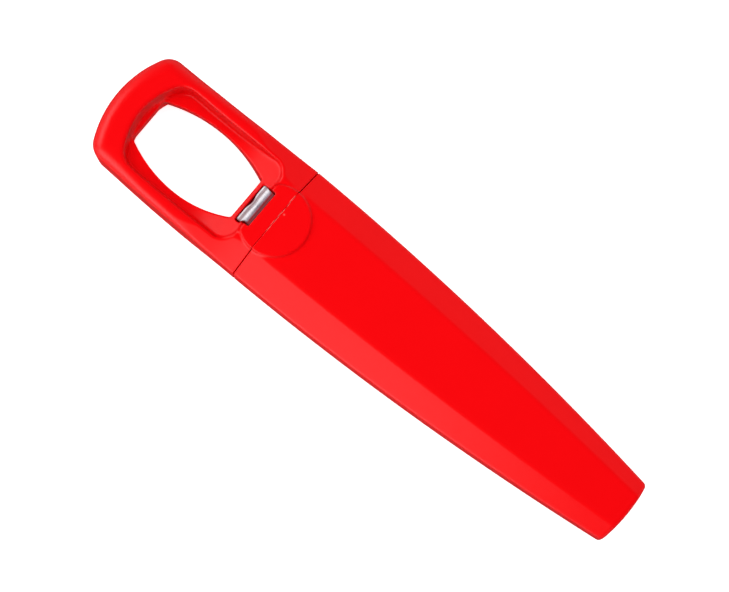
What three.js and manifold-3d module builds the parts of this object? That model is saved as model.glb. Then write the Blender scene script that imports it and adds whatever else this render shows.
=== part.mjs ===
// Pocket corkscrew with a bottle opener in its head.
// Millimetres, +Z up. The tool lies on its back: the head points to +Y, the tip of the sheath to -Y,
// and the round pad faces up. The origin is under the middle of the tool's box.
import * as THREE from 'three';
import * as BufferGeometryUtils from 'three/addons/utils/BufferGeometryUtils.js';
import Module from 'manifold-3d';

const wasm = await Module();
wasm.setup();

// ---- Driving dimensions -------------------------------------------------------------------------

const LENGTH = 172;               // whole tool, head to tip
const THICKNESS = 18.4;           // between the flat faces, without the pad
const HEAD_LENGTH = 53.8;         // from the top of the head to the parting line
const PARTING_GAP = 0.3;          // between the head and the sheath
const FIT_GAP = 0.3;              // between any other two pieces that meet

const BODY_HALF_WIDTH = 17.4;     // at the parting line
const FACE_HALF_WIDTH = 9.7;      // of the flat middle face, at the parting line
const FACET_SLOPE = THREE.MathUtils.degToRad(30);

const SHEATH_WIDTH_TAPER = 8.3;   // how much narrower each half gets at the tip
const SHEATH_FACE_TAPER = 4.8;    // the same, for the middle face
const SHEATH_THICKNESS_TAPER = 2.3;
const SHEATH_PARALLEL = 40;       // this much of the sheath keeps its full thickness
const TAPER_POWER = 1.9;
const SHEATH_WALL = 2.2;
const TIP_WALL = 3;
const TIP_RADIUS = 47;            // plan radius of the tip's end
const TIP_CORNER = 0.8;           // chamfer round the tip's end

const HEAD_TOP_HALF_WIDTH = 16.6;
const HEAD_TOP_RADIUS = 30.5;
const HEAD_CORNER_RADIUS = 5.3;
const HEAD_WALL_HALF = 5;         // half height of the head's upright side wall
const HEAD_BLEND = 24;            // above the parting line, facets turn into a rounded edge over this
const RAIL_BEVEL = 2.6;           // width of that edge beside the nest
const RIM_BEVEL = 4.2;            // and across the top of the head
const RIM_START = 60;             // Y where the one begins to turn into the other
const RIM_END = 75;

const OPENING_TOP = 75.8;         // Y of the opening's far edge
const OPENING_BOTTOM = 42;        // Y of its edge beside the lip
const OPENING_END_HALF = 6.3;
const OPENING_MID_HALF = 10.1;

const NEST_HALF_WIDTH = 12.9;     // recess round the opening, where a crown cap lies
const NEST_TOP = 77.5;
const NEST_TOP_RADIUS = 20;
const NEST_SHOULDER_RADIUS = 6;
const NEST_BOTTOM = 38.1;
const NEST_CORNER = 4.4;
const NEST_DRAFT = 0.4;           // the nest's floor is this much smaller all round than its mouth
const NEST_DEPTH = 7.1;
const NEST_RAMP_TOP = 36.9;       // Y where the ramp's plane meets the front face
const NEST_RAMP_FOOT = 52;        // Y where it reaches the nest's floor

const PAD_RADIUS = 9.5;
const PAD_HEIGHT = 0.8;

const SLOT_HALF_WIDTH = 5.9;
const SLOT_BOTTOM = 36.4;
const SLOT_TOP = 40.7;
const SLOT_FLOOR = 6.6;           // height of the slot's floor above the back

const LIP_PLATE = 1.2;            // sheet thickness
const LIP_HALF_WIDTH = 5.55;
const LIP_CREST = 0.55;           // how far the flange stands above the tool's face
const LIP_BEND_RADIUS = 2.1;      // outside of the bend between the tail and the flange
const LIP_NOTCH_HALF = 2.6;
const LIP_NOTCH_DEPTH = 0.5;

const PLUG_LENGTH = 13.5;
const PLUG_CLEARANCE = 0.6;
const PLUG_CHAMFER = 1.2;
const RIB_HEIGHT = 0.3;
const RIB_WIDTH = 1.2;
const RIB_LENGTH = 9.5;
const RIB_SPACING = 6;
const COLLAR_RADIUS = 4.4;
const COLLAR_LENGTH = 4;
const COLLAR_TAPER = 1;           // the collar's radius shrinks by this much at its end

const WIRE_RADIUS = 1.65;
const WORM_RADIUS = 4.5;          // outside of the turns
const WORM_PITCH = 9.5;
const WORM_TURNS = 5;
const SHANK_BURIED = 14;          // length of the shank inside the plug and collar
const SHANK_FREE = 3;
const WORM_SPREAD_TURNS = 0.5;    // the turns reach their full width in this much of a turn
const WORM_POINT_TURNS = 0.75;    // the wire thins to a point along this much of the last turn
const WORM_POINT_RADIUS = 0.2;

const OVERLAP = 1;                // solids that are joined, or that cut, run past the shared face by this

// How finely the rounded shapes are stepped.
const HEAD_SIDE_STEPS = 9;
const HEAD_BEVEL_STEPS = 6;
const SHEATH_RINGS = 20;
const CORNER_STEPS = 5;
const BULGE_STEPS = 14;
const NOTCH_STEPS = 60;
const ROD_SIDES = 32;
const PAD_SIDES = 64;
const WIRE_SIDES = 8;
const STEPS_PER_TURN = 16;

// ---- Derived places -----------------------------------------------------------------------------

const TOP_Y = LENGTH / 2;
const TIP_Y = -LENGTH / 2;
const PARTING_Y = TOP_Y - HEAD_LENGTH;
const MOUTH_Y = PARTING_Y - PARTING_GAP;
const SHEATH_LENGTH = PARTING_Y - TIP_Y;
const MID_Z = THICKNESS / 2;
const FACET_RISE = Math.tan(FACET_SLOPE);
const SHANK_TOP = PARTING_Y - PLUG_LENGTH - COLLAR_LENGTH + SHANK_BURIED;

// ---- Solids -------------------------------------------------------------------------------------

function toManifold(geometry) {
  const bare = geometry.clone();
  bare.deleteAttribute('normal');
  bare.deleteAttribute('uv');
  const merged = BufferGeometryUtils.mergeVertices(bare, 1e-4);
  const vertProperties = new Float32Array(merged.attributes.position.array);
  const triVerts = new Uint32Array(merged.index.array);
  return new wasm.Manifold(new wasm.Mesh({ numProp: 3, vertProperties, triVerts }));
}

function toGeometry(solid) {
  const { vertProperties, triVerts } = solid.getMesh();
  const geometry = new THREE.BufferGeometry();
  geometry.setAttribute('position', new THREE.BufferAttribute(new Float32Array(vertProperties), 3));
  geometry.setIndex(new THREE.BufferAttribute(new Uint32Array(triVerts), 1));
  return geometry;
}

// A closed geometry through rings of equally many points, each end closed round a middle point. The
// rings run counter-clockwise as seen from beyond the last ring.
function loft(rings, startMiddle, endMiddle) {
  const size = rings[0].length;
  const start = rings.length * size;
  const index = [];
  for (let r = 0; r + 1 < rings.length; r += 1) {
    for (let i = 0; i < size; i += 1) {
      const j = (i + 1) % size;
      const below = r * size;
      const above = below + size;
      index.push(below + i, below + j, above + j);
      index.push(below + i, above + j, above + i);
    }
  }
  for (let i = 0; i < size; i += 1) {
    const j = (i + 1) % size;
    index.push(start, j, i);
    index.push(start + 1, start - size + i, start - size + j);
  }
  const positions = [...rings.flat(2), ...startMiddle, ...endMiddle];
  const geometry = new THREE.BufferGeometry();
  geometry.setAttribute('position', new THREE.Float32BufferAttribute(positions, 3));
  geometry.setIndex(index);
  return geometry;
}

// A flat outline in X and Y, pulled up between two heights.
function prism(points, bottom, top) {
  const shape = new THREE.Shape(points.map(([x, y]) => new THREE.Vector2(x, y)));
  const geometry = new THREE.ExtrudeGeometry(shape, { depth: top - bottom, bevelEnabled: false });
  geometry.translate(0, 0, bottom);
  return toManifold(geometry);
}

// A flat outline in Y and Z, pulled across in X by the same half width both ways.
function crossPrism(points, halfWidth) {
  const shape = new THREE.Shape(points.map(([y, z]) => new THREE.Vector2(y, z)));
  const geometry = new THREE.ExtrudeGeometry(shape, { depth: 2 * halfWidth, bevelEnabled: false });
  geometry.translate(0, 0, -halfWidth);
  geometry.rotateX(Math.PI / 2);
  geometry.rotateZ(Math.PI / 2);
  return toManifold(geometry);
}

function block(x0, x1, y0, y1, z0, z1) {
  const geometry = new THREE.BoxGeometry(x1 - x0, y1 - y0, z1 - z0);
  geometry.translate((x0 + x1) / 2, (y0 + y1) / 2, (z0 + z1) / 2);
  return toManifold(geometry);
}

// A round rod or cone along Y, on the tool's middle line.
function lengthwiseRod(radiusAtTop, radiusAtBottom, yTop, yBottom) {
  const geometry = new THREE.CylinderGeometry(radiusAtTop, radiusAtBottom, yTop - yBottom, ROD_SIDES);
  geometry.translate(0, (yTop + yBottom) / 2, MID_Z);
  return toManifold(geometry);
}

// Points of an arc, from one angle to another.
function arc(cx, cy, radius, from, to, steps) {
  const points = [];
  for (let i = 0; i <= steps; i += 1) {
    const angle = from + ((to - from) * i) / steps;
    points.push([cx + radius * Math.cos(angle), cy + radius * Math.sin(angle)]);
  }
  return points;
}

// The same tool turned over: what is cut in its face is cut in its back.
function turnedOver(solid) {
  return solid.rotate([0, 180, 0]).translate([0, 0, THICKNESS]);
}

// ---- Round pad ----------------------------------------------------------------------------------

// The pad stands on the face, centred on the parting line. It is cut there, half for each moulding.
function padHalf(bottom, ySplit, side) {
  const top = THICKNESS + PAD_HEIGHT;
  const geometry = new THREE.CylinderGeometry(PAD_RADIUS, PAD_RADIUS, top - bottom, PAD_SIDES);
  geometry.rotateX(Math.PI / 2);
  geometry.translate(0, PARTING_Y, (top + bottom) / 2);
  const far = ySplit + side * 2 * PAD_RADIUS;
  const keep = block(-LENGTH, LENGTH, Math.min(ySplit, far), Math.max(ySplit, far), 0, 2 * THICKNESS);
  return toManifold(geometry).intersect(keep);
}

// ---- Faceted section of the sheath, its hollow and the head's plug --------------------------------

// Half sizes of the section at a distance below the parting line.
function sectionAt(distance) {
  const taper = (Math.max(distance, 0) / SHEATH_LENGTH) ** TAPER_POWER;
  const thinning = Math.max(distance - SHEATH_PARALLEL, 0) / (SHEATH_LENGTH - SHEATH_PARALLEL);
  const wide = BODY_HALF_WIDTH - SHEATH_WIDTH_TAPER * taper;
  const face = FACE_HALF_WIDTH - SHEATH_FACE_TAPER * taper;
  const high = MID_Z - SHEATH_THICKNESS_TAPER * thinning ** TAPER_POWER;
  return { wide, face, high, wall: high - (wide - face) * FACET_RISE };
}

// The section at y as a ring, set in from the outside by the same distance all round. A bend moves
// its points along Y, as a rounded end needs.
function sectionRing(y, inset, bend) {
  const { wide, face, high, wall } = sectionAt(PARTING_Y - y);
  const w = wide - inset;
  const f = face - inset * Math.tan(FACET_SLOPE / 2);
  const h = high - inset;
  const v = wall - inset * FACET_RISE;
  const outline = [
    [0, h], [-f, h], [-w, v], [-w, -v], [-f, -h],
    [0, -h], [f, -h], [w, -v], [w, v], [f, h],
  ];
  return outline.map(([x, z]) => [x, y + bend * x * x, MID_Z + z]);
}

// A faceted solid from yStart down to yEnd, whose far end is rounded in plan.
function facetedSolid(yStart, yEnd, inset) {
  const rings = [];
  for (let i = 0; i < SHEATH_RINGS; i += 1) {
    const along = i / (SHEATH_RINGS - 1);
    rings.push(sectionRing(THREE.MathUtils.lerp(yStart, yEnd + TIP_CORNER, along), inset, 0));
  }
  rings.push(sectionRing(yEnd, inset + TIP_CORNER, 1 / (2 * TIP_RADIUS)));
  return toManifold(loft(rings, [0, yStart, MID_Z], [0, yEnd, MID_Z]));
}

// ---- Head ---------------------------------------------------------------------------------------

// Upright sides below a shallow arch: the two arcs that round such an outline's top.
function arch(halfWidth, top, topRadius, cornerRadius) {
  const cx = halfWidth - cornerRadius;
  const cy = top - topRadius + Math.sqrt((topRadius - cornerRadius) ** 2 - cx ** 2);
  const turn = Math.atan2(cy - (top - topRadius), cx);
  return { cx, cy, turn };
}

// One contour of the head at the bevel angle phi: 0 on its side wall, a right angle on its flat face.
// Towards the parting line the rounded rim turns into the sheath's straight facets.
function headRing(phi, side) {
  const share = phi / (Math.PI / 2);
  const parting = sectionAt(0);
  const { cx, cy, turn } = arch(HEAD_TOP_HALF_WIDTH, TOP_Y, HEAD_TOP_RADIUS, HEAD_CORNER_RADIUS);
  const narrowing = 1 - Math.cos(phi);
  const roundRise = HEAD_WALL_HALF + (MID_Z - HEAD_WALL_HALF) * Math.sin(phi);
  const rightSide = [];
  for (let i = 0; i < HEAD_SIDE_STEPS; i += 1) {
    const along = i / HEAD_SIDE_STEPS;
    const y = PARTING_Y + (cy - PARTING_Y) * along;
    const roundness = THREE.MathUtils.smoothstep(y, PARTING_Y, PARTING_Y + HEAD_BLEND);
    const half = THREE.MathUtils.lerp(parting.wide, HEAD_TOP_HALF_WIDTH, along);
    const facetInset = (parting.wide - parting.face) * share;
    const facetRise = parting.wall + (MID_Z - parting.wall) * share;
    const rim = THREE.MathUtils.smoothstep(y, RIM_START, RIM_END);
    const roundInset = THREE.MathUtils.lerp(RAIL_BEVEL, RIM_BEVEL, rim) * narrowing;
    const x = half - THREE.MathUtils.lerp(facetInset, roundInset, roundness);
    rightSide.push([x, y, THREE.MathUtils.lerp(facetRise, roundRise, roundness)]);
  }
  const lift = ([x, y]) => [x, y, roundRise];
  const rimInset = RIM_BEVEL * narrowing;
  const corner = arc(cx, cy, HEAD_CORNER_RADIUS - rimInset, 0, turn, CORNER_STEPS).map(lift);
  const topRadius = HEAD_TOP_RADIUS - rimInset;
  const topArc = arc(0, TOP_Y - HEAD_TOP_RADIUS, topRadius, turn, Math.PI / 2, CORNER_STEPS);
  const right = [...rightSide, ...corner, ...topArc.slice(1).map(lift)];
  const left = right.slice(0, -1).reverse().map(([x, y, z]) => [-x, y, z]);
  return [...right, ...left].map(([x, y, z]) => [x, y, MID_Z + side * z]);
}

function headBody() {
  const rings = [];
  for (let i = HEAD_BEVEL_STEPS; i >= 0; i -= 1) {
    rings.push(headRing((i / HEAD_BEVEL_STEPS) * (Math.PI / 2), -1));
  }
  for (let i = 0; i <= HEAD_BEVEL_STEPS; i += 1) {
    rings.push(headRing((i / HEAD_BEVEL_STEPS) * (Math.PI / 2), 1));
  }
  const middleY = (TOP_Y + PARTING_Y) / 2;
  return toManifold(loft(rings, [0, middleY, 0], [0, middleY, THICKNESS]));
}

// The through opening: short straight ends, joined by bulging sides.
function openingCut() {
  const halfLength = (OPENING_TOP - OPENING_BOTTOM) / 2;
  const middle = (OPENING_TOP + OPENING_BOTTOM) / 2;
  const sagitta = OPENING_MID_HALF - OPENING_END_HALF;
  const radius = (halfLength ** 2 + sagitta ** 2) / (2 * sagitta);
  const reach = Math.asin(halfLength / radius);
  const right = arc(OPENING_MID_HALF - radius, middle, radius, -reach, reach, BULGE_STEPS);
  const left = right.map(([x, y]) => [-x, 2 * middle - y]);
  return prism([...right, ...left], -OVERLAP, THICKNESS + OVERLAP);
}

// The nest's outline, set in by a distance that is the same all round.
function nestOutline(inset) {
  const half = NEST_HALF_WIDTH - inset;
  const top = NEST_TOP - inset;
  const corner = NEST_SHOULDER_RADIUS - inset;
  const foot = NEST_CORNER - inset;
  const topRadius = NEST_TOP_RADIUS - inset;
  const { cx, cy, turn } = arch(half, top, topRadius, corner);
  const topArc = arc(0, top - topRadius, topRadius, turn, Math.PI / 2, CORNER_STEPS);
  const right = [
    ...arc(half - foot, NEST_BOTTOM + NEST_CORNER, foot, -Math.PI / 2, 0, CORNER_STEPS),
    ...arc(cx, cy, corner, 0, turn, CORNER_STEPS),
    ...topArc.slice(1),
  ];
  const left = right.slice(0, -1).reverse().map(([x, y]) => [-x, y]);
  return [...right, ...left];
}

// The cap nest: drafted walls, a flat floor, and a ramp that climbs to the face beside the lip.
function nestCut() {
  const floor = THICKNESS - NEST_DEPTH;
  const above = THICKNESS + 2 * PAD_HEIGHT;
  const atHeight = (inset, z) => nestOutline(inset).map(([x, y]) => [x, y, z]);
  const rings = [atHeight(NEST_DRAFT, floor), atHeight(0, THICKNESS), atHeight(0, above)];
  const middleY = (NEST_TOP + NEST_BOTTOM) / 2;
  const pocket = toManifold(loft(rings, [0, middleY, floor], [0, middleY, above]));
  const ramp = crossPrism([
    [NEST_RAMP_TOP, THICKNESS], [NEST_RAMP_FOOT, floor], [TOP_Y, floor], [TOP_Y, above],
    [NEST_RAMP_TOP - PAD_HEIGHT, above],
  ], BODY_HALF_WIDTH);
  return pocket.intersect(ramp);
}

// The plug that the sheath pushes on to, with ribs that make the fit tight and a collar for the worm.
function plug() {
  const inset = SHEATH_WALL + PLUG_CLEARANCE;
  const end = PARTING_Y - PLUG_LENGTH;
  const root = PARTING_Y + OVERLAP;
  const rings = [
    sectionRing(root, inset, 0),
    sectionRing(end + PLUG_CHAMFER, inset, 0),
    sectionRing(end, inset + PLUG_CHAMFER, 0),
  ];
  let solid = toManifold(loft(rings, [0, root, MID_Z], [0, end, MID_Z]));
  const face = MID_Z - inset;
  for (const x of [-RIB_SPACING, 0, RIB_SPACING]) {
    const ribEnd = PARTING_Y - RIB_LENGTH;
    const half = face + RIB_HEIGHT;
    const rib = block(x - RIB_WIDTH / 2, x + RIB_WIDTH / 2, ribEnd, root, MID_Z - half, MID_Z + half);
    solid = solid.add(rib);
  }
  const collarEnd = COLLAR_RADIUS - COLLAR_TAPER;
  return solid.add(lengthwiseRod(COLLAR_RADIUS, collarEnd, end + OVERLAP, end - COLLAR_LENGTH));
}

function openerHead() {
  const slot = block(-SLOT_HALF_WIDTH, SLOT_HALF_WIDTH, SLOT_BOTTOM, SLOT_TOP, SLOT_FLOOR, 2 * THICKNESS);
  const boreTop = SHANK_TOP + FIT_GAP;
  const bore = lengthwiseRod(WIRE_RADIUS + FIT_GAP, WIRE_RADIUS + FIT_GAP, boreTop, boreTop - LENGTH);
  const solid = headBody()
    .add(padHalf(MID_Z, PARTING_Y, 1))
    .subtract(nestCut())
    .subtract(turnedOver(nestCut()))
    .subtract(openingCut())
    .subtract(slot)
    .add(plug())
    .subtract(bore);
  return toGeometry(solid);
}

// ---- Lip ----------------------------------------------------------------------------------------

// Steel plate: a tail down the sheath side of the slot, a bend, and a flange towards the opening. The
// flange's edge is hollowed so that it bites a cap at two corners.
function lipInsert() {
  const back = SLOT_BOTTOM + FIT_GAP;
  const front = SLOT_TOP - FIT_GAP;
  const foot = SLOT_FLOOR + FIT_GAP;
  const crest = THICKNESS + LIP_CREST;
  const bendY = back + LIP_BEND_RADIUS;
  const bendZ = crest - LIP_BEND_RADIUS;
  const insideRadius = LIP_BEND_RADIUS - LIP_PLATE;
  const plate = crossPrism([
    [back, foot],
    [back + LIP_PLATE, foot],
    ...arc(bendY, bendZ, insideRadius, Math.PI, Math.PI / 2, CORNER_STEPS),
    [front, crest - LIP_PLATE],
    [front, crest],
    ...arc(bendY, bendZ, LIP_BEND_RADIUS, Math.PI / 2, Math.PI, CORNER_STEPS),
  ], LIP_HALF_WIDTH);
  const radius = (LIP_NOTCH_HALF ** 2 + LIP_NOTCH_DEPTH ** 2) / (2 * LIP_NOTCH_DEPTH);
  const notch = arc(0, front - LIP_NOTCH_DEPTH + radius, radius, -Math.PI, Math.PI, NOTCH_STEPS).slice(1);
  return toGeometry(plate.subtract(prism(notch, MID_Z, 2 * THICKNESS)));
}

// ---- Sheath -------------------------------------------------------------------------------------

function sheath() {
  const outside = facetedSolid(MOUTH_Y, TIP_Y, 0);
  const hollow = facetedSolid(MOUTH_Y + OVERLAP, TIP_Y + TIP_WALL, SHEATH_WALL);
  const solid = outside
    .add(padHalf(THICKNESS - SHEATH_WALL / 2, MOUTH_Y, -1))
    .subtract(hollow);
  return toGeometry(solid);
}

// ---- Worm ---------------------------------------------------------------------------------------

// The wire's middle line: a straight shank, then right-handed turns that widen from it.
class WormLine extends THREE.Curve {
  constructor() {
    super();
    this.straight = SHANK_BURIED + SHANK_FREE;
    this.total = this.straight + WORM_PITCH * WORM_TURNS;
  }

  getPoint(t, target = new THREE.Vector3()) {
    const down = t * this.total;
    const wound = Math.max(down - this.straight, 0) / WORM_PITCH;
    const spread = THREE.MathUtils.smoothstep(wound, 0, WORM_SPREAD_TURNS);
    const radius = (WORM_RADIUS - WIRE_RADIUS) * spread;
    const angle = -2 * Math.PI * wound;
    return target.set(radius * Math.sin(angle), SHANK_TOP - down, MID_Z + radius * Math.cos(angle));
  }
}

function corkscrewWorm() {
  const line = new WormLine();
  const wireLength = line.getLength();
  const turnLength = Math.hypot(WORM_PITCH, 2 * Math.PI * (WORM_RADIUS - WIRE_RADIUS));
  const steps = Math.ceil((wireLength / turnLength) * STEPS_PER_TURN);
  const { normals, binormals } = line.computeFrenetFrames(steps, false);
  const rings = [];
  for (let i = 0; i <= steps; i += 1) {
    const centre = line.getPointAt(i / steps);
    const left = (1 - i / steps) * wireLength;
    const thinned = Math.min(left / (WORM_POINT_TURNS * turnLength), 1);
    const radius = WORM_POINT_RADIUS + (WIRE_RADIUS - WORM_POINT_RADIUS) * Math.sqrt(thinned);
    const ring = [];
    for (let side = 0; side < WIRE_SIDES; side += 1) {
      const angle = (2 * Math.PI * side) / WIRE_SIDES;
      const point = centre.clone()
        .addScaledVector(normals[i], radius * Math.cos(angle))
        .addScaledVector(binormals[i], radius * Math.sin(angle));
      ring.push(point.toArray());
    }
    rings.push(ring);
  }
  return loft(rings, line.getPointAt(0).toArray(), line.getPointAt(1).toArray());
}

// ---- Scene graph --------------------------------------------------------------------------------

const redPlastic = new THREE.MeshStandardMaterial({ color: 0xe30b0b, roughness: 0.32, metalness: 0 });
const brushedSteel = new THREE.MeshStandardMaterial({ color: 0xb9b7bb, roughness: 0.35, metalness: 1 });
const brightSteel = new THREE.MeshStandardMaterial({ color: 0xcfd1d4, roughness: 0.2, metalness: 1 });

function piece(name, geometry, material) {
  const mesh = new THREE.Mesh(geometry, material);
  mesh.name = name;
  return mesh;
}

const opener = new THREE.Group();
opener.add(piece('opener_head', openerHead(), redPlastic));
opener.add(piece('lip_insert', lipInsert(), brushedSteel));
opener.add(piece('corkscrew_worm', corkscrewWorm(), brightSteel));

const corkscrew = new THREE.Group();
corkscrew.add(opener);
corkscrew.add(piece('sheath', sheath(), redPlastic.clone()));

export default corkscrew;
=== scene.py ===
"""Travel corkscrew with a bottle opener in its head, lying on its back on a pale table.

Lengths are in millimetres while a shape is worked out, and in metres once it is a Blender mesh. The two
red mouldings are drawn as distance fields: a function says how far a point is from the surface, rounded
edges come from smooth joins of such functions, and skin() lays a mesh on the surface where it is zero.
"""

import math

import bpy
import numpy as np
from mathutils import Matrix, Vector


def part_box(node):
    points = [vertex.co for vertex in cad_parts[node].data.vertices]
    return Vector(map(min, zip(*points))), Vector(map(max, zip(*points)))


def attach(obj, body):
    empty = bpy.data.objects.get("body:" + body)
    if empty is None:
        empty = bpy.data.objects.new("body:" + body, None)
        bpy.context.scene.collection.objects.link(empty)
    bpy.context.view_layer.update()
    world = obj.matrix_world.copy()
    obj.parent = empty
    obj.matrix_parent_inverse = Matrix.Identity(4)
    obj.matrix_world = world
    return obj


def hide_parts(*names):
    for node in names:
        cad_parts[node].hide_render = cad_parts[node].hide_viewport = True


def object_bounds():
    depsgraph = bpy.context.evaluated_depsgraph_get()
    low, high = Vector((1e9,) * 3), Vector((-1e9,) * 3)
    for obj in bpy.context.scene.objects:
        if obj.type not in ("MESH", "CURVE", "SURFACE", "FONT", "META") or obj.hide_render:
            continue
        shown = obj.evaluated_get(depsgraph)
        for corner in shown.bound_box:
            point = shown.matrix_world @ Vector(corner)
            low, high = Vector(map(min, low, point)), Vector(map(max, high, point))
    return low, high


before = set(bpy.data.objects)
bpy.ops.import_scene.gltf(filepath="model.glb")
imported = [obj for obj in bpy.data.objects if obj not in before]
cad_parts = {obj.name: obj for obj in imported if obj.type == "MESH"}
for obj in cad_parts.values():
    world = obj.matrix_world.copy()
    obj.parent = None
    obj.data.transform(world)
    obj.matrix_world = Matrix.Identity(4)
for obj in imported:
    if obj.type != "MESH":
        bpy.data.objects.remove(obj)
cad_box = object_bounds()

MM = 0.001

# ---- Sizes that come from the frame --------------------------------------------------------------


def box_mm(node):
    low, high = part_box(node)
    return np.array(low) / MM, np.array(high) / MM


SOLID_GAP = 0.3             # the sheath's solid stops this far short of the parting line
PAD_RISE = 0.8              # of the round pad above the face

SHEATH_LOW, SHEATH_HIGH = box_mm("sheath")
HEAD_HIGH = box_mm("opener_head")[1]
LIP_LOW, LIP_HIGH = box_mm("lip_insert")
WORM_HIGH = box_mm("corkscrew_worm")[1]

TIP = SHEATH_LOW[1]
TOP = HEAD_HIGH[1]
PARTING = SHEATH_HIGH[1] + SOLID_GAP
PAD_TOP = HEAD_HIGH[2]
THICK = PAD_TOP - PAD_RISE
MID = THICK / 2
HALF_WIDE = SHEATH_HIGH[0]
SHEATH_LENGTH = PARTING - TIP

# ---- The mouldings' own sizes ----------------------------------------------------------------------

FACE_HALF = 9.6             # half width of the flat middle face, at the parting line
FACE_SHIFT = 0.35           # that face sits this far to the right of the middle line
SLOPE = math.radians(30)    # of the facets beside it
WIDE_TAPER = 8.3            # each half of the sheath narrows by this much at the tip
FACE_TAPER = 4.8            # and each half of its face by this much
THICK_TAPER = 2.3           # and its face and its back come this much closer to the middle
PARALLEL = 40               # length of sheath that keeps its full thickness
TAPER_POWER = 1.9
SIDE_EDGE = 0.75            # rounding between a side and a facet
FACE_EDGE = 0.32            # rounding between a facet and the face
WALL = 2.2
TIP_WALL = 3
HOLLOW_END_ROUND = 2
HOLLOW_EDGE = 0.4           # rounding of the mouth's inner edge
TIP_RADIUS = 52             # of the tip's end, in plan
TIP_ROUND = 1.1             # rounding of that end's edges

MOUTH_GAP = 0.16            # the sheath's moulding stops this far short of the parting line
MOUTH_EDGE = 0.22           # rounding of both mouldings there
SEAM_CLOSING = 0.6          # the share of both that goes on the pad
SEAM_RISE = 0.5             # over this height above the face

HEAD_SIDE_EDGE = 1.25       # as SIDE_EDGE, beside the nest
SIDES_END = 8               # the head's sides stop narrowing this far below its top
RIM_HALF = 16.6             # half width under the head's top corners
RIM_TOP_RADIUS = 30.5
RIM_CORNER = 5.3
RAIL_FILLET = 2.9           # rounding of the rails beside the nest
RAIL_ROUND_START = 45       # the facets turn into it between these
RAIL_ROUND_END = 61
RIM_FILLET = 4.2            # rounding of the rim across the top of the head
RIM_FLAT_HALF = 15.4        # the rails beside the nest are flat out to here
RIM_NARROW_START = 33.5     # the facets narrow to that between these
RIM_NARROW_END = 55
RIM_ROUND_START = 62        # and the rails' narrow rounding turns into the top's wide one between these
RIM_ROUND_END = 76
HEAD_BOW = 0.38             # the middle of the head stands this far to the left
BOW_POWER = 1.4             # and its ends stay in place

NEST_HALF = 12.9
NEST_TOP = 77.5
NEST_TOP_RADIUS = 20
NEST_SHOULDER = 6
NEST_BOTTOM = 38.1
NEST_CORNER = 4.4
NEST_DEPTH = 7.1
NEST_DRAFT = 0.35
NEST_FOOT = 1.1             # fillet between the walls and the floor
NEST_EDGE = 1.2             # rounding of the mouth's edge
RAMP_TOP = 36.9             # the floor slopes down from here
RAMP_FOOT = 52
RAMP_SLOPE = NEST_DEPTH / (RAMP_FOOT - RAMP_TOP)
RAMP_BLEND = 3
RAMP_SOFTNESS = 0.75        # share of the nest's roundings that is left at the ramp's top
FULLY_SOFT = RAMP_FOOT + 2

OPENING_TOP = 75.8
OPENING_BOTTOM = 42
OPENING_END_HALF = 6.3
OPENING_MID_HALF = 10.1
OPENING_CORNER = 0.5
OPENING_EDGE = 0.5

PAD_RADIUS = 9.5
PAD_ROUND = 0.62            # rounding of its upper edge
PAD_FILLET = 0.8            # where it meets the face
PAD_FOOT_ROUND = 0.2        # rounding of its hidden underside

SLOT_MIDDLE = -0.03
SLOT_HALF = 5.58
SLOT_STEP = 0.66            # the slot's upper part reaches this much further left
SLOT_BOTTOM = 36.5
SLOT_TOP = 40.7
SLOT_STEP_Y = 39.1
SLOT_FLOOR = 6.6
SLOT_CORNER = 0.45
SLOT_EDGE = 0.3

LIP_PLATE = 1.2
LIP_BEND = 2.1              # outer radius of the bend between the tail and the flange
LIP_TAIL_HALF = 5.2
LIP_FLANGE_HALF = 5.67
LIP_FLANGE_MIDDLE = -0.3    # the flange sits a little to one side
LIP_NOTCH_HALF = 2.6
LIP_NOTCH = 0.42
LIP_CREASE = 0.85           # a shallow crease follows the flange's edge, this far in
LIP_CREASE_DEPTH = 0.11
LIP_CREASE_WIDTH = 0.3
LIP_SHORT = 0.15            # the flange's edge stops this far short of the solid's
LIP_CORNER = 0.5
LIP_EDGE = 0.3

PLUG_LENGTH = 13.5
PLUG_INSET = 2.8            # its tongue lies this far inside the body's surface
PLUG_ROOT = 1               # the tongue and the ribs reach this far into the head
PLUG_END_ROUND = 1.5
PLUG_FILLET = 0.4
RIB_LENGTH = 9.5
RIB_SPACING = 6
RIB_HALF = 0.6
RIB_RISE = 0.3              # above the tongue
RIB_ROUND = 0.4
RIB_END_ROUND = 0.5
RIB_FILLET = 0.25
RIB_CORE = 4                # the ribs stay this far from the middle plane
COLLAR_RADIUS = 4.4
COLLAR_LENGTH = 4
COLLAR_ROUND = 0.8
BORE_CLEARANCE = 0.04       # round the worm's shank
BORE_STOP = 3               # the bore ends this far short of the parting line
BORE_EDGE = 0.25

WIRE_RADIUS = 1.65
WORM_RADIUS = 4.5           # outside of the turns
WORM_PITCH = 9.5
WORM_TURNS = 5
SHANK_LENGTH = 17
WORM_SPREAD_TURNS = 0.5
WORM_POINT_TURNS = 0.75
WORM_POINT_RADIUS = 0.12

# ---- Distance fields -------------------------------------------------------------------------------


def smooth_max(a, b, width):
    """The greater of two fields, with the edge between them rounded over about this width."""
    blend = np.maximum(width - np.abs(a - b), 0)
    return np.maximum(a, b) + blend * blend / (4 * width)


def smooth_min(a, b, width):
    return -smooth_max(-a, -b, width)


def cut(solid, tool, width):
    """The solid with the tool taken out of it, and the new edge rounded."""
    return smooth_max(solid, -tool, width)


def round_corner(a, b, radius):
    """Both fields' inside, with a true arc of this radius where they meet."""
    corner = np.hypot(np.maximum(a + radius, 0), np.maximum(b + radius, 0))
    return np.minimum(np.maximum(a, b), -radius) + corner


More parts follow.
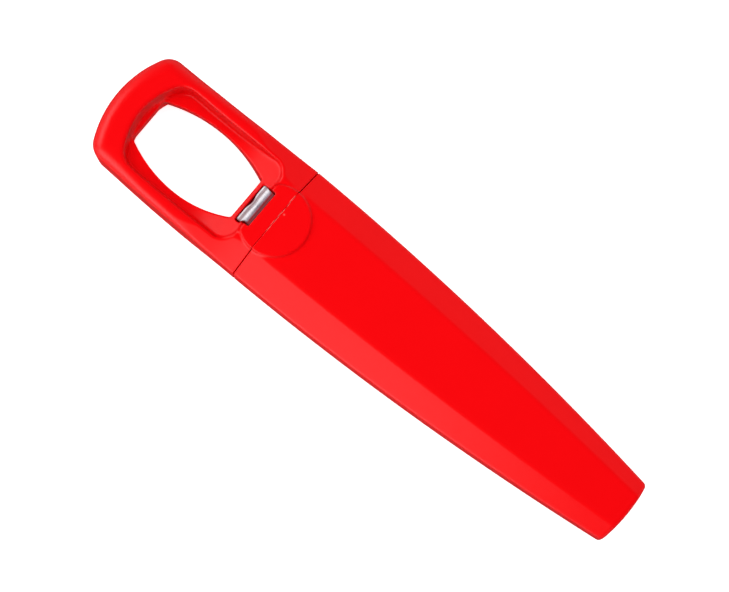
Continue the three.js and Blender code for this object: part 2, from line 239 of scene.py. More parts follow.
def shouldered(x, y, half, top, top_radius, corner):
    """Plan distance to upright sides under a shallow arch, with rounded corners between them."""
    across = np.abs(x)
    arch_y = top - top_radius
    corner_x = half - corner
    rise = np.sqrt((top_radius - corner) ** 2 - corner_x ** 2)
    away, above = across - corner_x, y - arch_y - rise
    arch = np.hypot(x, np.maximum(y - arch_y, 0)) - top_radius
    plain = np.maximum(across - half, arch)
    in_corner = (above > 0) & (above * corner_x < away * rise)
    return np.where(in_corner, np.hypot(away, above) - corner, plain)


def smoothstep(low, high, value):
    t = np.clip((value - low) / (high - low), 0, 1)
    return t * t * (3 - 2 * t)


def rim_share(y):
    """0 at the parting line and below it, 1 where the facets have narrowed to the rails' edge."""
    return smoothstep(RIM_NARROW_START, RIM_NARROW_END, y)


def half_section(y):
    """Half width, half face width and half thickness of the tool's section at y."""
    below = np.maximum(PARTING - y, 0)
    taper = (below / SHEATH_LENGTH) ** TAPER_POWER
    thinning = np.maximum(below - PARALLEL, 0) / (SHEATH_LENGTH - PARALLEL)
    above = np.clip((y - PARTING) / (TOP - SIDES_END - PARTING), 0, 1)
    wide = HALF_WIDE - WIDE_TAPER * taper - (HALF_WIDE - RIM_HALF) * above
    face = FACE_HALF - FACE_TAPER * taper + (RIM_FLAT_HALF - FACE_HALF) * rim_share(y)
    high = MID - THICK_TAPER * thinning ** TAPER_POWER
    return wide, face, high


def face_edge(x, y, face):
    """How far from the middle line the flat face ends: a little further on the right."""
    return face + FACE_SHIFT * np.clip(x / 2, -1, 1) * (1 - rim_share(y))


def faceted(x, y, z):
    """The eight-sided body, endless along Y."""
    wide, face, high = half_section(y)
    across, up = np.abs(x), np.abs(z - MID)
    facet = (across - face_edge(x, y, face)) * math.sin(SLOPE) + (up - high) * math.cos(SLOPE)
    return smooth_max(smooth_max(across - wide, facet, SIDE_EDGE), up - high, FACE_EDGE)


def pad(x, y, z):
    """The raised round pad on the face."""
    return smooth_max(np.hypot(x, y - PARTING) - PAD_RADIUS, z - PAD_TOP, PAD_ROUND)


def seam(z):
    """How open the parting line is at a height: it closes up on the pad."""
    return 1 - SEAM_CLOSING * smoothstep(THICK, THICK + SEAM_RISE, z)


def sheath_field(p):
    x, y, z = p
    body = faceted(x, y, z)
    end = TIP + x * x / (2 * TIP_RADIUS) - y
    body = smooth_max(body, end, TIP_ROUND)
    disc = smooth_max(pad(x, y, z), THICK - WALL / 2 - z, PAD_FOOT_ROUND)
    body = smooth_min(body, disc, PAD_FILLET)
    open_share = seam(z)
    mouth = y - (PARTING - MOUTH_GAP * open_share)
    body = smooth_max(body, mouth, MOUTH_EDGE * open_share)
    hollow = smooth_max(faceted(x, y, z) + WALL, TIP + TIP_WALL - y, HOLLOW_END_ROUND)
    return cut(body, hollow, HOLLOW_EDGE)


def nest(x, y, z, drop):
    """The cap nest cut in the face; drop is the depth below that face."""
    outline = shouldered(x, y, NEST_HALF, NEST_TOP, NEST_TOP_RADIUS, NEST_SHOULDER)
    outline = round_corner(outline, NEST_BOTTOM - y, NEST_CORNER)
    walls = outline + NEST_DRAFT * drop / NEST_DEPTH
    floor = smooth_min((y - RAMP_TOP) * RAMP_SLOPE, NEST_DEPTH, RAMP_BLEND)
    return smooth_max(walls, (drop - floor) * math.cos(SLOPE), NEST_FOOT * nest_softness(y))


def nest_softness(y):
    """The nest's edges are crisper up the ramp, where it is shallow."""
    return RAMP_SOFTNESS + (1 - RAMP_SOFTNESS) * smoothstep(RAMP_TOP, FULLY_SOFT, y)


def opening(x, y):
    """The through opening: square ends between two bowed sides."""
    half_length = (OPENING_TOP - OPENING_BOTTOM) / 2
    middle = (OPENING_TOP + OPENING_BOTTOM) / 2
    sagitta = OPENING_MID_HALF - OPENING_END_HALF
    radius = (half_length ** 2 + sagitta ** 2) / (2 * sagitta)
    sides = np.hypot(np.abs(x) + radius - OPENING_MID_HALF, y - middle) - radius
    return round_corner(sides, np.abs(y - middle) - half_length, OPENING_CORNER)


def slot_box(x, y, left, right, bottom, top):
    across = np.abs(x - (left + right) / 2) - (right - left) / 2
    along = np.abs(y - (bottom + top) / 2) - (top - bottom) / 2
    return round_corner(across, along, SLOT_CORNER)


def slot(x, y, z):
    """The lip's slot, with its upper part a step wider on the left."""
    left, right = SLOT_MIDDLE - SLOT_HALF, SLOT_MIDDLE + SLOT_HALF
    main = slot_box(x, y, left, right, SLOT_BOTTOM, SLOT_TOP)
    step = slot_box(x, y, left - SLOT_STEP, 0, SLOT_STEP_Y, SLOT_TOP)
    return np.maximum(np.minimum(main, step), SLOT_FLOOR - z)


def plug(x, y, z):
    """What the sheath pushes on to: a faceted tongue, six low ribs and a collar for the worm."""
    end = PARTING - PLUG_LENGTH
    root = y - PARTING - PLUG_ROOT
    height = np.abs(z - MID)
    tongue = smooth_max(faceted(x, y, z) + PLUG_INSET, end - y, PLUG_END_ROUND)
    tongue = np.maximum(tongue, root)

    up = height - (MID - PLUG_INSET + RIB_RISE)
    nearest = np.clip(np.round(x / RIB_SPACING), -1, 1) * RIB_SPACING
    rib = smooth_max(np.abs(x - nearest) - RIB_HALF, up, RIB_ROUND)
    rib = smooth_max(rib, PARTING - RIB_LENGTH - y, RIB_END_ROUND)
    rib = np.maximum(rib, np.maximum(root, RIB_CORE - height))

    # The collar widens all the way up to the parting line, where it is wider than the tongue is thick.
    slim = (end - y) / COLLAR_LENGTH
    collar = np.hypot(x, z - MID) - COLLAR_RADIUS + slim
    collar = smooth_max(collar, end - COLLAR_LENGTH - y, COLLAR_ROUND)
    collar = np.maximum(collar, y - PARTING)
    return smooth_min(smooth_min(tongue, rib, RIB_FILLET), collar, COLLAR_ROUND)


def head_body(x, y, z):
    """The head without its cuts: the sheath's section at the parting line, a rounded rim at the top."""
    wide, face, high = half_section(y)
    up = np.abs(z - MID)
    outline = shouldered(x, y, wide, TOP, RIM_TOP_RADIUS, RIM_CORNER)
    facet = (outline + wide - face_edge(x, y, face)) * math.sin(SLOPE) + (up - high) * math.cos(SLOPE)
    side_edge = SIDE_EDGE + (HEAD_SIDE_EDGE - SIDE_EDGE) * rim_share(y)
    rail = smooth_max(smooth_max(outline, facet, side_edge), up - high, FACE_EDGE)
    fillet = RAIL_FILLET + (RIM_FILLET - RAIL_FILLET) * smoothstep(RIM_ROUND_START, RIM_ROUND_END, y)
    rim = round_corner(outline, up - MID, fillet)
    rounding = smoothstep(RAIL_ROUND_START, RAIL_ROUND_END, y)
    return rail * (1 - rounding) + rim * rounding


def head_field(p):
    x, y, z = p
    bowed = x + HEAD_BOW * np.sin(math.pi * np.clip((y - PARTING) / (TOP - PARTING), 0, 1)) ** BOW_POWER
    body = smooth_min(head_body(bowed, y, z), np.maximum(pad(x, y, z), MID - z), PAD_FILLET)
    edge = NEST_EDGE * nest_softness(y)
    body = cut(body, nest(bowed, y, z, THICK - z), edge)
    body = cut(body, nest(bowed, y, z, z), edge)
    body = smooth_max(body, PARTING - y, MOUTH_EDGE * seam(z))
    body = cut(body, opening(bowed, y), OPENING_EDGE)
    body = cut(body, slot(x, y, z), SLOT_EDGE)
    body = smooth_min(body, plug(x, y, z), PLUG_FILLET)
    bore = np.maximum(np.hypot(x, z - MID) - WIRE_RADIUS - BORE_CLEARANCE, y - PARTING + BORE_STOP)
    return cut(body, bore, BORE_EDGE)


# ---- From a field to a mesh ------------------------------------------------------------------------


def steps(*stretches):
    """Grid places along one axis: stretches are (start, end, spacing), end to end."""
    places = []
    for start, end, spacing in stretches:
        count = max(2, int(round(abs(end - start) / spacing)))
        places.extend(np.linspace(start, end, count, endpoint=False))
    places.append(stretches[-1][1])
    return np.array(places)


CORNERS = [(i, j, k) for i in (0, 1) for j in (0, 1) for k in (0, 1)]
CELL_EDGES = [
    (a, b) for a in CORNERS for b in CORNERS
    if sum(b) - sum(a) == 1 and sum(abs(p - q) for p, q in zip(a, b)) == 1
]


def surface_net(field, xs, ys, zs):
    """One point in each grid cell that the surface crosses, and a quad round each crossed grid edge."""
    axes = (xs, ys, zs)
    grid = np.meshgrid(xs, ys, zs, indexing="ij")
    value = field(grid)
    inside = value < 0
    shape = tuple(n - 1 for n in value.shape)
    count = np.zeros(shape, np.int8)
    for i, j, k in CORNERS:
        count += inside[i:i + shape[0], j:j + shape[1], k:k + shape[2]]
    active = np.argwhere((count > 0) & (count < 8))
    number = np.full(shape, -1, np.int64)
    number[tuple(active.T)] = np.arange(len(active))

    total = np.zeros((len(active), 3))
    crossings = np.zeros(len(active))
    for a, b in CELL_EDGES:
        ia, ib = tuple((active + a).T), tuple((active + b).T)
        va, vb = value[ia], value[ib]
        crossed = (va < 0) != (vb < 0)
        share = np.where(crossed, va / np.where(crossed, va - vb, 1), 0)
        for n, axis in enumerate(axes):
            low, high = axis[ia[n]], axis[ib[n]]
            total[:, n] += np.where(crossed, low + (high - low) * share, 0)
        crossings += crossed
    points = total / crossings[:, None]

    quads = []
    for axis in range(3):
        u, v = (axis + 1) % 3, (axis + 2) % 3
        first = np.take(inside, range(0, value.shape[axis] - 1), axis)
        second = np.take(inside, range(1, value.shape[axis]), axis)
        edge = np.argwhere(first != second)
        room = (edge[:, u] > 0) & (edge[:, v] > 0)
        room &= (edge[:, u] < shape[u]) & (edge[:, v] < shape[v])
        edge = edge[room]
        outward = first[tuple(edge.T)]
        around = []
        for du, dv in ((1, 1), (0, 1), (0, 0), (1, 0)):
            cell = edge.copy()
            cell[:, u] -= du
            cell[:, v] -= dv
            around.append(number[tuple(cell.T)])
        ring = np.stack(around, 1)
        ring[~outward] = ring[~outward][:, ::-1]
        quads.append(ring)
    return points, np.concatenate(quads)


NORMAL_REACH = 0.03         # the shading's normals are taken over this distance each way
LEAST_SLOPE_SQUARED = 0.05  # settle() takes no field to be flatter than this
LONGEST_MOVE = 0.25         # and moves no point further than this in one round


def slope_of(field, points, reach=0.01):
    """The field's gradient at each point."""
    gradient = np.empty_like(points)
    for n in range(3):
        step = np.zeros(3)
        step[n] = reach
        gradient[:, n] = (field((points + step).T) - field((points - step).T)) / (2 * reach)
    return gradient


def settle(field, points, rounds=3):
    """Moves each point along the gradient on to the surface."""
    for _ in range(rounds):
        gradient = slope_of(field, points)
        size = np.maximum((gradient ** 2).sum(1), LEAST_SLOPE_SQUARED)
        move = -gradient * (field(points.T) / size)[:, None]
        points = points + np.clip(move, -LONGEST_MOVE, LONGEST_MOVE)
    return points


def new_object(name, mesh, material):
    mesh.materials.append(material)
    piece = bpy.data.objects.new(name, mesh)
    bpy.context.scene.collection.objects.link(piece)
    return piece


def skin(name, field, xs, ys, zs, material, keep=1.0):
    """A moulding's mesh: the net on its field, thinned where it is flat, with the field's own normals."""
    points, quads = surface_net(field, xs, ys, zs)
    points = settle(field, points)
    mesh = bpy.data.meshes.new(name)
    mesh.from_pydata((points * MM).tolist(), [], quads.tolist())
    piece = new_object(name, mesh, material)
    if keep < 1:
        thin = piece.modifiers.new("thin", "DECIMATE")
        thin.ratio = keep
        apply_modifiers(piece)
        mesh = piece.data
    places = np.empty(len(mesh.vertices) * 3)
    mesh.vertices.foreach_get("co", places)
    places = settle(field, places.reshape(-1, 3) / MM)
    mesh.vertices.foreach_set("co", (places * MM).ravel())
    mesh.shade_smooth()
    normals = slope_of(field, places, NORMAL_REACH)
    normals /= np.maximum(np.linalg.norm(normals, axis=1), 1e-9)[:, None]
    mesh.normals_split_custom_set_from_vertices(normals.tolist())
    mesh.update()
    return piece


def apply_modifiers(piece):
    """Replaces the piece's mesh by what its modifiers make of it."""
    graph = bpy.context.evaluated_depsgraph_get()
    done = bpy.data.meshes.new_from_object(piece.evaluated_get(graph))
    piece.modifiers.clear()
    old = piece.data
    piece.data = done
    bpy.data.meshes.remove(old)


# ---- Steel pieces ----------------------------------------------------------------------------------


def lip_field(p):
    """A bent plate: a tail down the sheath side of the slot, a bend, and a flange towards the opening."""
    x, y, z = p
    back, foot = LIP_LOW[1], LIP_LOW[2]
    front, crest = LIP_HIGH[1] - LIP_SHORT, LIP_HIGH[2]
    bend_y, bend_z = back + LIP_BEND, crest - LIP_BEND
    notch = LIP_NOTCH * (0.5 + 0.5 * np.cos(math.pi * np.clip(x / LIP_NOTCH_HALF, -1, 1)))
    from_edge = front - notch - y
    crease = LIP_CREASE_DEPTH * np.exp(-((from_edge - LIP_CREASE) / LIP_CREASE_WIDTH) ** 2)
    behind, above = bend_y - y, z - bend_z + crease
    reach = np.hypot(np.maximum(behind, 0), np.maximum(above, 0))
    reach += np.minimum(np.maximum(behind, above), 0)
    plate = np.abs(reach - LIP_BEND + LIP_PLATE / 2) - LIP_PLATE / 2
    on_flange = smoothstep(bend_y - 0.5, bend_y + 0.3, y)
    half = LIP_TAIL_HALF + (LIP_FLANGE_HALF - LIP_TAIL_HALF) * on_flange
    side = np.abs(x - LIP_FLANGE_MIDDLE * on_flange) - half
    outline = round_corner(side, -from_edge, LIP_CORNER)
    return smooth_max(smooth_max(plate, outline, LIP_EDGE), foot - z, LIP_EDGE)


def worm_line(down):
    """The wire's middle line: a straight shank, then right-handed turns that widen from it."""
    wound = max(down - SHANK_LENGTH, 0) / WORM_PITCH
    radius = (WORM_RADIUS - WIRE_RADIUS) * float(smoothstep(0, WORM_SPREAD_TURNS, wound))
    angle = -2 * math.pi * wound
    return Vector((radius * math.sin(angle), WORM_HIGH[1] - down, MID + radius * math.cos(angle)))


def corkscrew_worm(material):
    """The wire as a curve with a round section, thinned to a point along its last turn."""
    total = SHANK_LENGTH + WORM_PITCH * WORM_TURNS
    steps_per_turn = 48
    count = int(total / WORM_PITCH * steps_per_turn)
    curve = bpy.data.curves.new("corkscrew_wire", "CURVE")
    curve.dimensions = "3D"
    curve.bevel_depth = WIRE_RADIUS * MM
    curve.bevel_resolution = 6
    curve.use_fill_caps = True
    spline = curve.splines.new("POLY")
    spline.points.add(count)
    for n, point in enumerate(spline.points):
        down = total * n / count
        left = min((total - down) / (WORM_PITCH * WORM_POINT_TURNS), 1)
        radius = WORM_POINT_RADIUS + (WIRE_RADIUS - WORM_POINT_RADIUS) * math.sqrt(left)
        point.co = (*(worm_line(down) * MM), 1)
        point.radius = radius / WIRE_RADIUS
    wire = bpy.data.objects.new("corkscrew_wire", curve)
    bpy.context.scene.collection.objects.link(wire)
    graph = bpy.context.evaluated_depsgraph_get()
    mesh = bpy.data.meshes.new_from_object(wire.evaluated_get(graph))
    mesh.name = "corkscrew_wire"
    bpy.data.objects.remove(wire)
    mesh.materials.clear()
    mesh.shade_smooth()
    return new_object("corkscrew_wire", mesh, material)


# ---- Materials -------------------------------------------------------------------------------------

RED_BRIGHT = (0.84, 0.0014, 0.0034, 1)
RED_DEEP = (0.77, 0.001, 0.0024, 1)
PLASTIC_ROUGHNESS = (0.28, 0.34)
PLASTIC_IOR = 1.5

WHITENED = (0.95, 0.2, 0.18, 1)
WHITENING = 0.65            # how far the red turns into that
BURRS = ((-3.7, 0.9), (0.7, 4.2), (4.6, 8.4))       # across the pad, from and to
BURR_FADE = 0.5             # at the ends of each
BURR_HALF = 0.19            # half their width, along the tool
BURR_SOFT = 0.12
BURR_WANDER = 0.3
NICK_ACROSS = 2.65
NICK_BELOW = 0.9            # the parting line
NICK_RADIUS = 0.36
NICK_STRENGTH = 0.85

STEEL_LIGHT = (0.80, 0.79, 0.80, 1)
STEEL_DULL = (0.62, 0.60, 0.63, 1)
STEEL_STREAK = (0.34, 0.31, 0.34, 1)
# Colour of the painted shade along the lip's crease, slightly red.
STEEL_CREASE_SHADE = (0.27, 0.17, 0.18, 1)
# Colour of the painted mauve reflection on the lip's lower part.
STEEL_MAUVE_REFLECTION = (0.44, 0.35, 0.48, 1)
CREASE_SHADE_START = 1.7            # the painted crease shade lies between these distances from the flange's edge
CREASE_SHADE_END = 0.4
REFLECTION_TINT_BELOW = 0.75          # the lip gets a painted mauve reflection from this far under its crest down

PLATE_BRIGHT = (0.78, 0.79, 0.81, 1)
PLATE_DULL = (0.66, 0.67, 0.69, 1)

# The Mix node's colour sockets, which come after those for numbers and vectors.
MIX_A, MIX_B, MIX_RESULT = 6, 7, 2


class Nodes:
    """A material's node tree, with short calls for the nodes used here."""

    def __init__(self, name):
        self.material = bpy.data.materials.new(name)
        self.material.use_nodes = True
        self.tree = self.material.node_tree
        self.shader = self.tree.nodes["Principled BSDF"]
        place = self.add("ShaderNodeTexCoord")
        scale = self.add("ShaderNodeVectorMath")
        scale.operation = "SCALE"
        scale.inputs["Scale"].default_value = 1 / MM
        self.link(place.outputs["Object"], scale.inputs[0])
        self.place = scale.outputs[0]

    def add(self, kind):
        return self.tree.nodes.new(kind)

    def link(self, output, socket):
        self.tree.links.new(output, socket)

    def feed(self, value, socket):
        """A socket gets either a link or a plain value."""
        if isinstance(value, bpy.types.NodeSocket):
            self.link(value, socket)
        else:
            socket.default_value = value

    def math(self, operation, a, b=0.0, clamp=False):
        node = self.add("ShaderNodeMath")
        node.operation = operation
        node.use_clamp = clamp
        self.feed(a, node.inputs[0])
        self.feed(b, node.inputs[1])
        return node.outputs[0]

    def mapped(self, scale, offset=(0, 0, 0)):
        node = self.add("ShaderNodeMapping")
        node.inputs["Scale"].default_value = scale
        node.inputs["Location"].default_value = offset
        self.link(self.place, node.inputs["Vector"])
        return node.outputs[0]

    def noise(self, scale, detail=2.0, vector=None):
        node = self.add("ShaderNodeTexNoise")
        self.link(vector or self.place, node.inputs["Vector"])
        node.inputs["Scale"].default_value = scale
        node.inputs["Detail"].default_value = detail
        return node.outputs["Fac"]

    def between(self, fac, low, high):
        """A number that goes from low to high as fac goes from 0 to 1."""
        node = self.add("ShaderNodeMapRange")
        self.link(fac, node.inputs["Value"])
        node.inputs["To Min"].default_value = low
        node.inputs["To Max"].default_value = high
        return node.outputs["Result"]

    def window(self, value, low, high, soft):
        """1 between low and high, 0 outside, with soft edges."""
        rise = self.add("ShaderNodeMapRange")
        self.link(value, rise.inputs["Value"])
        rise.inputs["From Min"].default_value = low
        rise.inputs["From Max"].default_value = low + soft
        fall = self.add("ShaderNodeMapRange")
        self.link(value, fall.inputs["Value"])
        fall.inputs["From Min"].default_value = high - soft
        fall.inputs["From Max"].default_value = high
        fall.inputs["To Min"].default_value = 1
        fall.inputs["To Max"].default_value = 0
        return self.math("MULTIPLY", rise.outputs["Result"], fall.outputs["Result"])

    def mix(self, fac, a, b):
        node = self.add("ShaderNodeMix")
        node.data_type = "RGBA"
        self.link(fac, node.inputs["Factor"])
        self.feed(a, node.inputs[MIX_A])
        self.feed(b, node.inputs[MIX_B])
        return node.outputs[MIX_RESULT]

    def bump(self, height, strength, distance):
        node = self.add("ShaderNodeBump")
        node.inputs["Strength"].default_value = strength
        node.inputs["Distance"].default_value = distance
        self.link(height, node.inputs["Height"])
        self.link(node.outputs["Normal"], self.shader.inputs["Normal"])

    def spot(self, centre, radius):
        """1 at a point, falling to 0 at the radius."""
        node = self.add("ShaderNodeVectorMath")
        node.operation = "DISTANCE"
        self.link(self.place, node.inputs[0])
        node.inputs[1].default_value = centre
        share = self.math("DIVIDE", node.outputs["Value"], radius)
        return self.math("SUBTRACT", 1, share, clamp=True)


def moulded_red(name):
    """Glossy red plastic: faint flow clouds, a fine moulded skin, whitened burrs on the parting line."""
    nodes = Nodes(name)
    clouds = nodes.noise(0.06, 3.0)
    skin_grain = nodes.noise(1.6, 3.0)
    red = nodes.mix(nodes.between(clouds, 0.2, 0.8), RED_DEEP, RED_BRIGHT)

    split = nodes.add("ShaderNodeSeparateXYZ")
    nodes.link(nodes.place, split.inputs[0])
    across, along, up = split.outputs
    ragged = nodes.between(nodes.noise(0.6, 3.0), -BURR_WANDER, BURR_WANDER)
    wandering = nodes.math("ADD", along, ragged)
    near = nodes.window(wandering, PARTING - BURR_HALF, PARTING + BURR_HALF, BURR_SOFT)
    burrs, *others = [nodes.window(across, start, end, BURR_FADE) for start, end in BURRS]
    for burr in others:
        burrs = nodes.math("MAXIMUM", burrs, burr)
    on_pad = nodes.window(up, THICK + 0.3, PAD_TOP + 1, 0.3)
    whitened = nodes.math("MULTIPLY", nodes.math("MULTIPLY", near, burrs), on_pad)
    nick = nodes.spot((NICK_ACROSS, PARTING - NICK_BELOW, PAD_TOP), NICK_RADIUS)
    whitened = nodes.math("MAXIMUM", whitened, nodes.math("MULTIPLY", nick, NICK_STRENGTH))
    colour = nodes.mix(nodes.math("MULTIPLY", whitened, WHITENING), red, WHITENED)
    nodes.link(colour, nodes.shader.inputs["Base Color"])

    shine = nodes.between(nodes.noise(0.35, 2.0), *PLASTIC_ROUGHNESS)
    shine = nodes.math("ADD", shine, nodes.math("MULTIPLY", whitened, 0.3), clamp=True)
    nodes.link(shine, nodes.shader.inputs["Roughness"])
    nodes.shader.inputs["IOR"].default_value = PLASTIC_IOR
    height = nodes.math("ADD", skin_grain, nodes.math("MULTIPLY", nodes.noise(0.25, 1.0), 2))
    nodes.bump(height, 0.12, 0.04 * MM)
    return nodes.material


def brushed_steel(name):
    """Stamped steel: fine streaks down the bend, a painted dark shade band along the crease near its edge,
    and a painted mauve reflection lower down.
    """
    nodes = Nodes(name)
    streaks = nodes.noise(1.0, 5.0, nodes.mapped((5.5, 0.35, 0.35)))
    patches = nodes.noise(0.8, 3.0)
    tone = nodes.mix(nodes.between(patches, 0.25, 0.75), STEEL_LIGHT, STEEL_DULL)
    colour = nodes.mix(nodes.between(streaks, -0.1, 0.75), tone, STEEL_STREAK)
    split = nodes.add("ShaderNodeSeparateXYZ")
    nodes.link(nodes.place, split.inputs[0])
    # Painted shade: a dark, slightly red band along the crease behind the flange's edge.
    crease_shade = nodes.window(split.outputs["Y"], LIP_HIGH[1] - CREASE_SHADE_START, LIP_HIGH[1] - CREASE_SHADE_END, 0.5)
    colour = nodes.mix(nodes.math("MULTIPLY", crease_shade, 0.85), colour, STEEL_CREASE_SHADE)
    # Painted reflection: lower down, the lip turns mauve and partly diffuse, so the overhead fill brightens
    # it where it lies in the slot's shade.
    tail = nodes.window(split.outputs["Z"], 0, LIP_HIGH[2] - REFLECTION_TINT_BELOW, 0.6)
    colour = nodes.mix(nodes.math("MULTIPLY", tail, 0.8), colour, STEEL_MAUVE_REFLECTION)
    nodes.link(nodes.between(tail, 1, 0.6), nodes.shader.inputs["Metallic"])
    nodes.link(colour, nodes.shader.inputs["Base Color"])
    nodes.link(nodes.between(streaks, 0.34, 0.52), nodes.shader.inputs["Roughness"])
    nodes.shader.inputs["Anisotropic"].default_value = 0.5
    nodes.bump(streaks, 0.3, 0.05 * MM)
    return nodes.material


def plated_wire(name):
    """Bright plating over drawn wire, a little duller in patches."""
    nodes = Nodes(name)
    drawn = nodes.noise(1.0, 4.0, nodes.mapped((2.5, 0.4, 2.5)))
    patches = nodes.noise(0.3, 3.0)
    colour = nodes.mix(patches, PLATE_BRIGHT, PLATE_DULL)
    nodes.link(colour, nodes.shader.inputs["Base Color"])
    nodes.link(nodes.between(patches, 0.14, 0.3), nodes.shader.inputs["Roughness"])
    nodes.shader.inputs["Metallic"].default_value = 1
    nodes.bump(drawn, 0.15, 0.05 * MM)
    return nodes.material


# ---- The pieces ------------------------------------------------------------------------------------

# Grid spacings: the finest lie on the pad's low step, the longest down the sheath's plain length.
COARSE = 1.0
LIP_STEP = 0.14 * COARSE
PAD_STEP = 0.18 * COARSE
FINE = 0.3 * COARSE
MEDIUM = 0.4 * COARSE
LONG = 1.2 * COARSE

MARGIN = 0.45               # the grids reach this far past the moulding
LIP_MARGINS = (0.6, 0.4, 0.4)
NEAR_FACE = THICK - 0.6     # the pad's spacing starts here
TIP_END = TIP + 4           # the sheath's fine stretches end here at its tip,
MOUTH_START = PARTING - 13  # and start here at its mouth
PLUG_TIP = PARTING - PLUG_LENGTH - COLLAR_LENGTH

ACROSS = steps((-HALF_WIDE - MARGIN, HALF_WIDE + MARGIN, FINE))
UP = steps((-MARGIN, NEAR_FACE, FINE), (NEAR_FACE, PAD_TOP + MARGIN, PAD_STEP))

head = skin(
    "head_moulding", head_field, ACROSS,
    steps((PLUG_TIP - MARGIN, PARTING, MEDIUM), (PARTING, TOP + MARGIN, FINE)),
    UP, moulded_red("red_plastic_head"), keep=0.5,
)
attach(head, "opener")
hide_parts("opener_head")

sheath = skin(
    "sheath_moulding", sheath_field, ACROSS,
    steps((TIP - MARGIN, TIP_END, FINE), (TIP_END, MOUTH_START, LONG), (MOUTH_START, PARTING + MARGIN, FINE)),
    UP, moulded_red("red_plastic_sheath"), keep=0.6,
)
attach(sheath, "sheath")
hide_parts("sheath")

lip_grid = [
    steps((low - margin, high + margin, LIP_STEP))
    for low, high, margin in zip(LIP_LOW, LIP_HIGH, LIP_MARGINS)
]
lip = skin("cap_lip", lip_field, *lip_grid, brushed_steel("brushed_lip_steel"), keep=0.5)
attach(lip, "opener")
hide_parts("lip_insert")

worm = corkscrew_worm(plated_wire("plated_worm_steel"))
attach(worm, "opener")
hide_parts("corkscrew_worm")

# ---- Floor, light and camera, in metres --------------------------------------------------------------

TABLE_HALF = 4.0
TABLE_LIGHT = (0.90, 0.90, 0.90, 1)
TABLE_DULL = (0.86, 0.86, 0.86, 1)
TABLE_ROUGHNESS = 0.9
TABLE_GLOW = 0.65           # a light table: it shines a little, so that shadows on it stay pale
STUDIO_GREY = 0.025


def floor():
    """A wide pale table top, a little uneven in tone."""
    size = TABLE_HALF
    mesh = bpy.data.meshes.new("table_top")
    corners = [(-size, -size, 0), (size, -size, 0), (size, size, 0), (-size, size, 0)]
    mesh.from_pydata(corners, [], [(0, 1, 2, 3)])
    nodes = Nodes("pale_table")
    tone = nodes.mix(nodes.noise(0.01, 2.0), TABLE_LIGHT, TABLE_DULL)
    nodes.link(tone, nodes.shader.inputs["Base Color"])
    nodes.shader.inputs["Roughness"].default_value = TABLE_ROUGHNESS
    nodes.shader.inputs["Specular IOR Level"].default_value = 0.0
    nodes.shader.inputs["Emission Color"].default_value = (1, 1, 1, 1)
    nodes.shader.inputs["Emission Strength"].default_value = TABLE_GLOW
    top = new_object("table_top", mesh, nodes.material)
    top.visible_glossy = False


def area_light(name, place, aim, width, height, radiance):
    """A rectangular softbox that faces a point; its power gives it the radiance asked for."""
    data = bpy.data.lights.new(name, "AREA")
    data.shape = "RECTANGLE"
    data.size = width
    data.size_y = height
    data.energy = radiance * math.pi * width * height
    lamp = bpy.data.objects.new(name, data)
    lamp.location = place
    lamp.rotation_euler = (Vector(aim) - Vector(place)).to_track_quat("-Z", "Y").to_euler()
    lamp.visible_camera = False
    bpy.context.scene.collection.objects.link(lamp)
    return lamp


floor()

# Upright softboxes on the left, beyond the head and, faintly, on the right. The left is brighter low down.
TO_RIGHT = Vector((1, 0, 0))
TO_TIP = Vector((0, -1, 0))
SOFTBOXES = (               # name, place, the way it faces, width, height, radiance
    ("left_softbox", (-0.55, 0.16, 0.36), TO_RIGHT, 0.56, 0.22, 1.0),
    ("left_strip", (-0.55, 0.16, 0.13), TO_RIGHT, 0.56, 0.24, 1.8),
    ("head_softbox", (-0.24, 0.6, 0.3), TO_TIP, 0.62, 0.36, 1.7),
    ("right_fill", (0.6, 0, 0.28), -TO_RIGHT, 0.6, 0.4, 0.12),
)
for name, place, facing, width, height, radiance in SOFTBOXES:
    area_light(name, place, Vector(place) + facing, width, height, radiance)

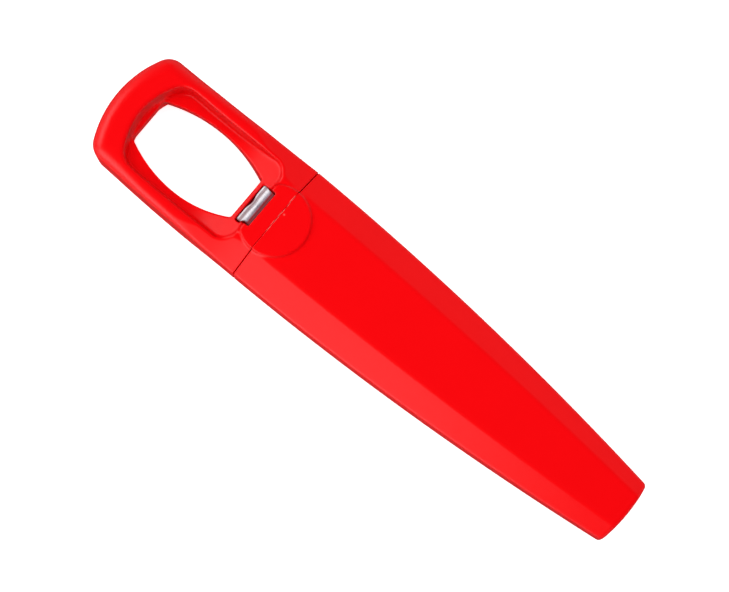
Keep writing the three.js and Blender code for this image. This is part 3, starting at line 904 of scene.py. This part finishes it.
# The overhead light fills without a reflection, so that the flat face stays a deep red.
centre = Vector((cad_box[0] + cad_box[1]) / 2)
above = centre + Vector((0, 0, 1.2))
overhead = area_light("overhead_fill", above, centre, width=2.0, height=2.0, radiance=2.3)
overhead.visible_glossy = False
overhead.data.cycles.use_multiple_importance_sampling = False

# Two cards that only the steel sees: a white one above and a mauve one low beyond the tip.
over_head = centre + Vector((0.06, 0.1, 0.8))
beyond_tip = centre + Vector((0, -0.6, 0.24))
card = area_light("steel_card", over_head, centre, width=0.9, height=0.9, radiance=2.1)
low_card = area_light("steel_low_card", beyond_tip, centre, width=0.8, height=0.5, radiance=0.9)
low_card.data.color = (0.9, 0.78, 1)
steel = bpy.data.collections.new("steel_pieces")
steel.objects.link(lip)
steel.objects.link(worm)
card.light_linking.receiver_collection = steel
low_card.light_linking.receiver_collection = steel

world = bpy.data.worlds.new("studio")
world.use_nodes = True
grey = (STUDIO_GREY, STUDIO_GREY, STUDIO_GREY, 1)
world.node_tree.nodes["Background"].inputs["Color"].default_value = grey
bpy.context.scene.world = world

CAMERA_AZIMUTH = math.radians(-50.1)
CAMERA_ELEVATION = math.radians(83.3)
CAMERA_DISTANCE = 0.8
CAMERA_AIM = Vector((0.64, 2.52, MID)) * MM
VIEW_WIDTH = 0.1904         # across the picture, at the aim's distance
SENSOR_WIDTH = 36

back = Vector((
    math.sin(CAMERA_AZIMUTH) * math.cos(CAMERA_ELEVATION),
    -math.cos(CAMERA_AZIMUTH) * math.cos(CAMERA_ELEVATION),
    math.sin(CAMERA_ELEVATION),
))
right = Vector((0, 0, 1)).cross(back).normalized()
camera_data = bpy.data.cameras.new("photo_view")
camera_data.sensor_width = SENSOR_WIDTH
camera_data.lens = SENSOR_WIDTH * CAMERA_DISTANCE / VIEW_WIDTH
camera_data.clip_start = 0.01
camera = bpy.data.objects.new("photo_view", camera_data)
axes = Matrix((right, back.cross(right), back)).transposed().to_4x4()
camera.matrix_world = Matrix.Translation(CAMERA_AIM + back * CAMERA_DISTANCE) @ axes
bpy.context.scene.collection.objects.link(camera)
bpy.context.scene.camera = camera
bpy.context.scene.view_settings.view_transform = "Standard"
